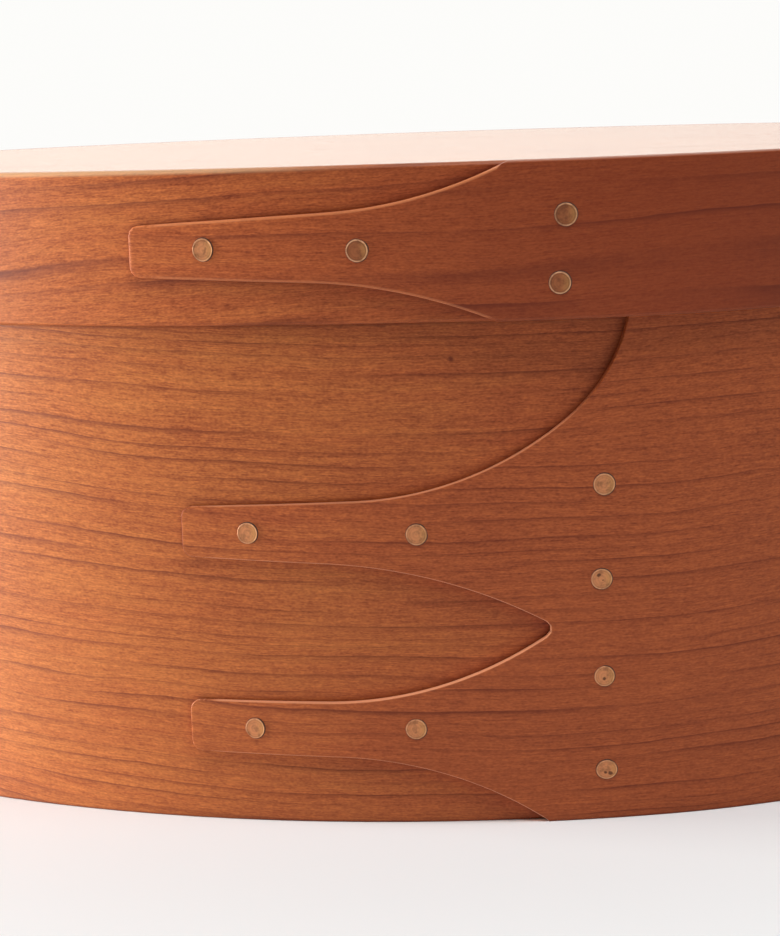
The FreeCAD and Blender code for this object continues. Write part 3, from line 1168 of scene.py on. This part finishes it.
def copper(name, face, rim_polish_and_highlight, pits=()):
    """Dulled copper. A pit is (across, up, radius) in millimetres from the middle of the head."""
    material, finish = new_finish(name)
    across, _, up = finish.flat_parts()
    across, up = across / mm, up / mm
    from_axis = (across * across + up * up) ** 0.5 / (head_radius / mm)
    everywhere = finish.node("ShaderNodeTexCoord")["Object"]
    cloud = finish.noise(everywhere, 800, detail=3.0, roughness=0.65)
    rings = ((from_axis * 20).cosine() * 0.5 + 0.5) * 0.25
    dull = finish.mix(0.5, face, copper_pit_and_shade)
    colour = finish.mix(cloud.rise(0.25, 0.6) - rings, dull, face)
    # Painted highlight: the face turns golder towards one side, mixed with random cloud.
    colour = finish.mix((across / 2 + cloud - 0.3).rise(0.2, 1.0) * 0.5, colour, copper_gold_and_highlight)
    # Rim: partly rubbed copper, partly a painted highlight. Groove inside it: painted shade.
    rim = from_axis.rise(0.84, 0.92)
    groove = from_axis.rise(0.7, 0.8) * (1 - rim)
    colour = finish.mix(groove * rim_polish_and_highlight * 0.5, colour, copper_pit_and_shade)
    colour = finish.mix(rim * (cloud.rise(0.35, 0.6) * 0.6 + 0.4) * rim_polish_and_highlight, colour, copper_rim_polish_and_highlight)
    for pit_across, pit_up, pit_radius in pits:
        beside, above = across - pit_across, up - pit_up
        away = (beside * beside + above * above) ** 0.5 + (cloud - 0.5) * 0.5
        colour = finish.mix(0.85 - away.rise(pit_radius * 0.5, pit_radius) * 0.85, colour, copper_pit_and_shade)
    # Painted shadow: a thin dark ring round the head, where the head shades the wood.
    ring_shadow = from_axis.rise(0.985, 1.02)
    colour = finish.mix(ring_shadow, colour, ring_shadow_colour)
    surface = finish.node("ShaderNodeBsdfPrincipled", None, {
        "Base Color": colour, "Metallic": 0.7 - ring_shadow * 0.7, "Roughness": 0.36 + cloud * 0.2 + rim * 0.1,
        "Normal": finish.bump(0.5, dent_height, cloud),
    })
    finish.node("ShaderNodeOutputMaterial", None, {"Surface": surface["BSDF"]})
    return material


tan_copper = copper("tan_copper", copper_tan, 0.4)
brown_copper = copper("brown_copper", copper_brown, 0.65)
pitted_copper = copper("pitted_copper", copper_tan, 0.4, [(-0.07, -0.43, 0.42)])
nicked_copper = copper("nicked_copper", copper_tan, 0.4, [(-0.5, 0.75, 0.4), (0.2, -0.2, 0.2)])
worn_copper = copper("worn_copper", copper_tan, 0.4, [(0.7, -0.75, 0.5), (-0.25, -0.6, 0.35)])
box_coppers = [tan_copper] * 5 + [nicked_copper, pitted_copper, worn_copper]
lid_coppers = [tan_copper] + [brown_copper] * 3

# %% Put the finishes and bodies on
def dress(piece, material, body, slot, *nodes):
    """Give a piece its material and its body, and let it stand for its working piece."""
    piece.data.materials.clear()
    piece.data.materials.append(material)
    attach(piece, body)
    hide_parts(*nodes)


dress(box_band, box_band_cherry, "box", "band_wood", "box_band")
dress(lid_band, lid_band_cherry, "lid", "band_wood", "lid_band")
dress(bottom_board, board_cherry, "box", "board_wood", "box_bottom_board")
dress(lid_board, board_cherry, "lid", "board_wood", "lid_top_board")
for number, (tack, material) in enumerate(zip(box_tacks, box_coppers), 1):
    dress(tack, material, "box", "tack_copper", "box_tack_%d" % number)
for number, (tack, material) in enumerate(zip(lid_tacks, lid_coppers), 1):
    dress(tack, material, "lid", "tack_copper", "lid_tack_%d" % number)
for number, peg in enumerate(box_pegs, 1):
    dress(peg, peg_cherry, "box", "peg_wood", "box_peg_%02d" % number)
for number, peg in enumerate(lid_pegs, 1):
    dress(peg, peg_cherry, "lid", "peg_wood", "lid_peg_%02d" % number)

# %% [markdown]
# ## The camera
#
# The view is from a little above the lid and a little to the right of the middle, turned slightly
# back to the left, close enough that the oval runs out of the picture on both sides.

# %% Camera
picture_height = 936
focal_pixels = 2701.32
camera_place = (43.318 * mm, -533.41 * mm, 129.374 * mm)
yaw, pitch, roll = 0.09999, -0.15098, 0.03537

camera_data = bpy.data.cameras.new("camera")
camera_data.lens = camera_data.sensor_width * focal_pixels / picture_height
camera = bpy.data.objects.new("camera", camera_data)
camera.matrix_world = (
    Matrix.Translation(camera_place) @ Matrix.Rotation(yaw, 4, "Z") @ Matrix.Rotation(pitch, 4, "X")
    @ Matrix.Rotation(roll, 4, "Y") @ Matrix.Rotation(math.pi / 2, 4, "X")
)
bpy.context.scene.collection.objects.link(camera)
bpy.context.scene.camera = camera

# %% [markdown]
# ## The floor and the light
#
# The box stands on a white sheet in a white room. One large window is far to the left and a little
# behind, so the left end of the front is lit from the side and the rest by the floor and the walls.
# The room is a world whose brightness depends on the direction, and the window is an area lamp.

# %% Floor
floor_white = (0.905, 0.915, 0.93, 1)
floor_radius = 0.8
fade_radius = 0.35  # from here on the floor fades into the white of the room

bpy.ops.object.select_all(action="DESELECT")
bpy.ops.mesh.primitive_circle_add(vertices=96, radius=floor_radius, fill_type="NGON")
floor = bpy.context.object
floor.name = "floor"
floor_material, finish = new_finish("white_sheet")
x, y, _ = finish.place_parts()
from_middle = (x * x + y * y) ** 0.5
sheet = finish.node("ShaderNodeBsdfDiffuse", None, {"Color": floor_white})
room = finish.node("ShaderNodeEmission", None, {"Color": (1, 1, 1, 1), "Strength": 1.0})
seen = finish.node("ShaderNodeLightPath")["Is Camera Ray"]
fade = from_middle.rise(fade_radius, floor_radius) * seen
blend = finish.node("ShaderNodeMixShader", None, {0: fade, 1: sheet["BSDF"], 2: room["Emission"]})
finish.node("ShaderNodeOutputMaterial", None, {"Surface": blend["Shader"]})
floor.data.materials.append(floor_material)

# %% Room
dim_light = 0.06
back_wall, back_wall_slope = 1.53, 0.46
left_wall, right_wall = 0.34, 0.28
light_white = (0.985, 0.985, 0.918, 1)
seen_white = (0.98, 0.975, 0.955, 1)

world = bpy.data.worlds.new("white_room")
world.use_nodes = True
bpy.context.scene.world = world
finish = Finish(world.node_tree)
x, y, _ = finish.place_parts("Generated")
behind = y.rise(0.2, 0.9)
left = (x * -1).rise(0.5, 1.0)
right = x.rise(0.5, 1.0)
room_light = dim_light + behind * (back_wall - back_wall_slope * x)
room_light = room_light + left * left_wall + right * right_wall
seen = finish.node("ShaderNodeLightPath")["Is Camera Ray"]
strength = seen + (1 - seen) * room_light
paint = finish.mix(seen, light_white, seen_white)
sky = finish.node("ShaderNodeBackground", None, {"Color": paint, "Strength": strength})
finish.node("ShaderNodeOutputWorld", None, {"Surface": sky["Background"]})

# %% Lamps
def soft_lamp(name, place, aim, width, height, watts, colour):
    """A rectangular lamp that looks from its place towards an aim."""
    data = bpy.data.lights.new(name, "AREA")
    data.shape = "RECTANGLE"
    data.size = width
    data.size_y = height
    data.energy = watts
    data.color = colour
    lamp = bpy.data.objects.new(name, data)
    lamp.location = place
    lamp.rotation_mode = "QUATERNION"
    lamp.rotation_quaternion = (Vector(aim) - Vector(place)).to_track_quat("-Z", "Y")
    bpy.context.scene.collection.objects.link(lamp)


soft_lamp("window", place=(-2.0, 0.1, 0.13), aim=(0, -0.05, 0.05), width=0.75, height=0.22, watts=90,
          colour=(1.0, 0.985, 0.94))
soft_lamp("ceiling", place=(0.1, -0.5, 1.3), aim=(0, -0.1, 0), width=0.8, height=0.8, watts=13.4,
          colour=(1.0, 1.0, 1.0))

bpy.context.scene.view_settings.view_transform = "Standard"
